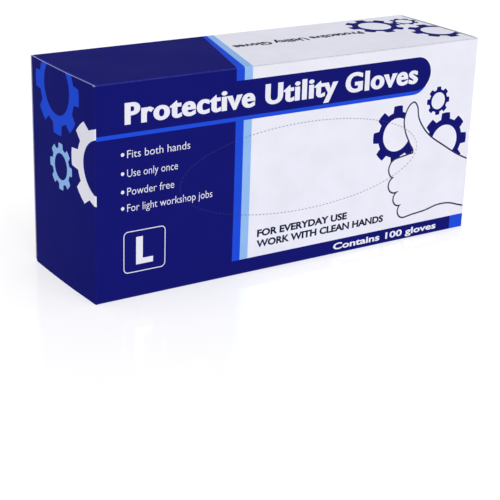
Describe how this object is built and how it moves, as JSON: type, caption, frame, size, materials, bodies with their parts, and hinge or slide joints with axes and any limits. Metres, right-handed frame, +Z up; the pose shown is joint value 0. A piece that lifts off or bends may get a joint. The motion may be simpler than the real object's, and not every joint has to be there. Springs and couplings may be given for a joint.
{
  "type": "disposable glove dispenser carton",
  "caption": "Folding paperboard carton lying on its long side, with a perforated oval tear-out cover in front, tucked end closures and a pile of flat disposable gloves inside.",
  "frame": {"origin": "on the surface that the carton stands on, under the middle of the carton", "axes": "+X along the carton's length, +Y from the front panel with the oval cover to the back panel, +Z up"},
  "size_m": [0.24, 0.07, 0.112],
  "materials": {
    "navy_board": "satin",
    "white_board": "satin",
    "inside_board": "matte",
    "nitrile": "satin"
  },
  "bodies": {
    "carton": {"front_panel": "white_board", "back_panel": "white_board", "top_panel": "white_board", "bottom_panel": "white_board", "glue_seam_flap": "inside_board", "glove_01": "nitrile", "glove_02": "nitrile", "glove_03": "nitrile", "glove_04": "nitrile", "glove_05": "nitrile", "glove_06": "nitrile", "glove_07": "nitrile", "glove_08": "nitrile", "glove_09": "nitrile", "glove_10": "nitrile", "gloves_11_to_20": "nitrile", "gloves_21_to_30": "nitrile", "gloves_31_to_40": "nitrile", "gloves_41_to_50": "nitrile", "gloves_51_to_60": "nitrile", "gloves_61_to_70": "nitrile", "gloves_71_to_80": "nitrile", "gloves_81_to_90": "nitrile", "gloves_91_to_100": "nitrile"},
    "cover": {"tear_out_cover": "white_board"},
    "left_closure": {"left_closure_panel": "navy_board"},
    "left_tuck": {"left_tuck_tab": "inside_board"},
    "left_upper_flap": {"left_upper_dust_flap": "inside_board"},
    "left_lower_flap": {"left_lower_dust_flap": "inside_board"},
    "right_closure": {"right_closure_panel": "white_board"},
    "right_tuck": {"right_tuck_tab": "inside_board"},
    "right_upper_flap": {"right_upper_dust_flap": "inside_board"},
    "right_lower_flap": {"right_lower_dust_flap": "inside_board"}
  },
  "joints": [
    {"name": "cover_tear_out", "type": "slide", "parent": "carton", "child": "cover", "axis": [0, -1, 0], "range_m": [0, 0.06]},
    {"name": "left_closure_hinge", "type": "hinge", "parent": "carton", "child": "left_closure", "pos_m": [-0.1197, -0.0347, 0.056], "axis": [0, 0, 1], "range_deg": [0, 110]},
    {"name": "left_tuck_crease", "type": "hinge", "parent": "left_closure", "child": "left_tuck", "pos_m": [-0.1197, 0.0333, 0.056], "axis": [0, 0, 1], "range_deg": [-27.5, 0]},
    {"name": "left_upper_flap_crease", "type": "hinge", "parent": "carton", "child": "left_upper_flap", "pos_m": [-0.1188, 0, 0.1117], "axis": [0, 1, 0], "range_deg": [0, 88]},
    {"name": "left_lower_flap_crease", "type": "hinge", "parent": "carton", "child": "left_lower_flap", "pos_m": [-0.1188, 0, 0.0003], "axis": [0, -1, 0], "range_deg": [0, 88]},
    {"name": "right_closure_hinge", "type": "hinge", "parent": "carton", "child": "right_closure", "pos_m": [0.1197, -0.0347, 0.056], "axis": [0, 0, -1], "range_deg": [0, 110]},
    {"name": "right_tuck_crease", "type": "hinge", "parent": "right_closure", "child": "right_tuck", "pos_m": [0.1197, 0.0333, 0.056], "axis": [0, 0, -1], "range_deg": [-27.5, 0]},
    {"name": "right_upper_flap_crease", "type": "hinge", "parent": "carton", "child": "right_upper_flap", "pos_m": [0.1188, 0, 0.1117], "axis": [0, -1, 0], "range_deg": [0, 88]},
    {"name": "right_lower_flap_crease", "type": "hinge", "parent": "carton", "child": "right_lower_flap", "pos_m": [0.1188, 0, 0.0003], "axis": [0, 1, 0], "range_deg": [0, 88]}
  ],
  "couplings": [
    {"joint": "left_tuck_crease", "follows": "left_closure_hinge", "ratio": -0.25},
    {"joint": "left_upper_flap_crease", "follows": "left_closure_hinge", "ratio": 0.8},
    {"joint": "left_lower_flap_crease", "follows": "left_closure_hinge", "ratio": 0.8},
    {"joint": "right_tuck_crease", "follows": "right_closure_hinge", "ratio": -0.25},
    {"joint": "right_upper_flap_crease", "follows": "right_closure_hinge", "ratio": 0.8},
    {"joint": "right_lower_flap_crease", "follows": "right_closure_hinge", "ratio": 0.8}
  ]
}
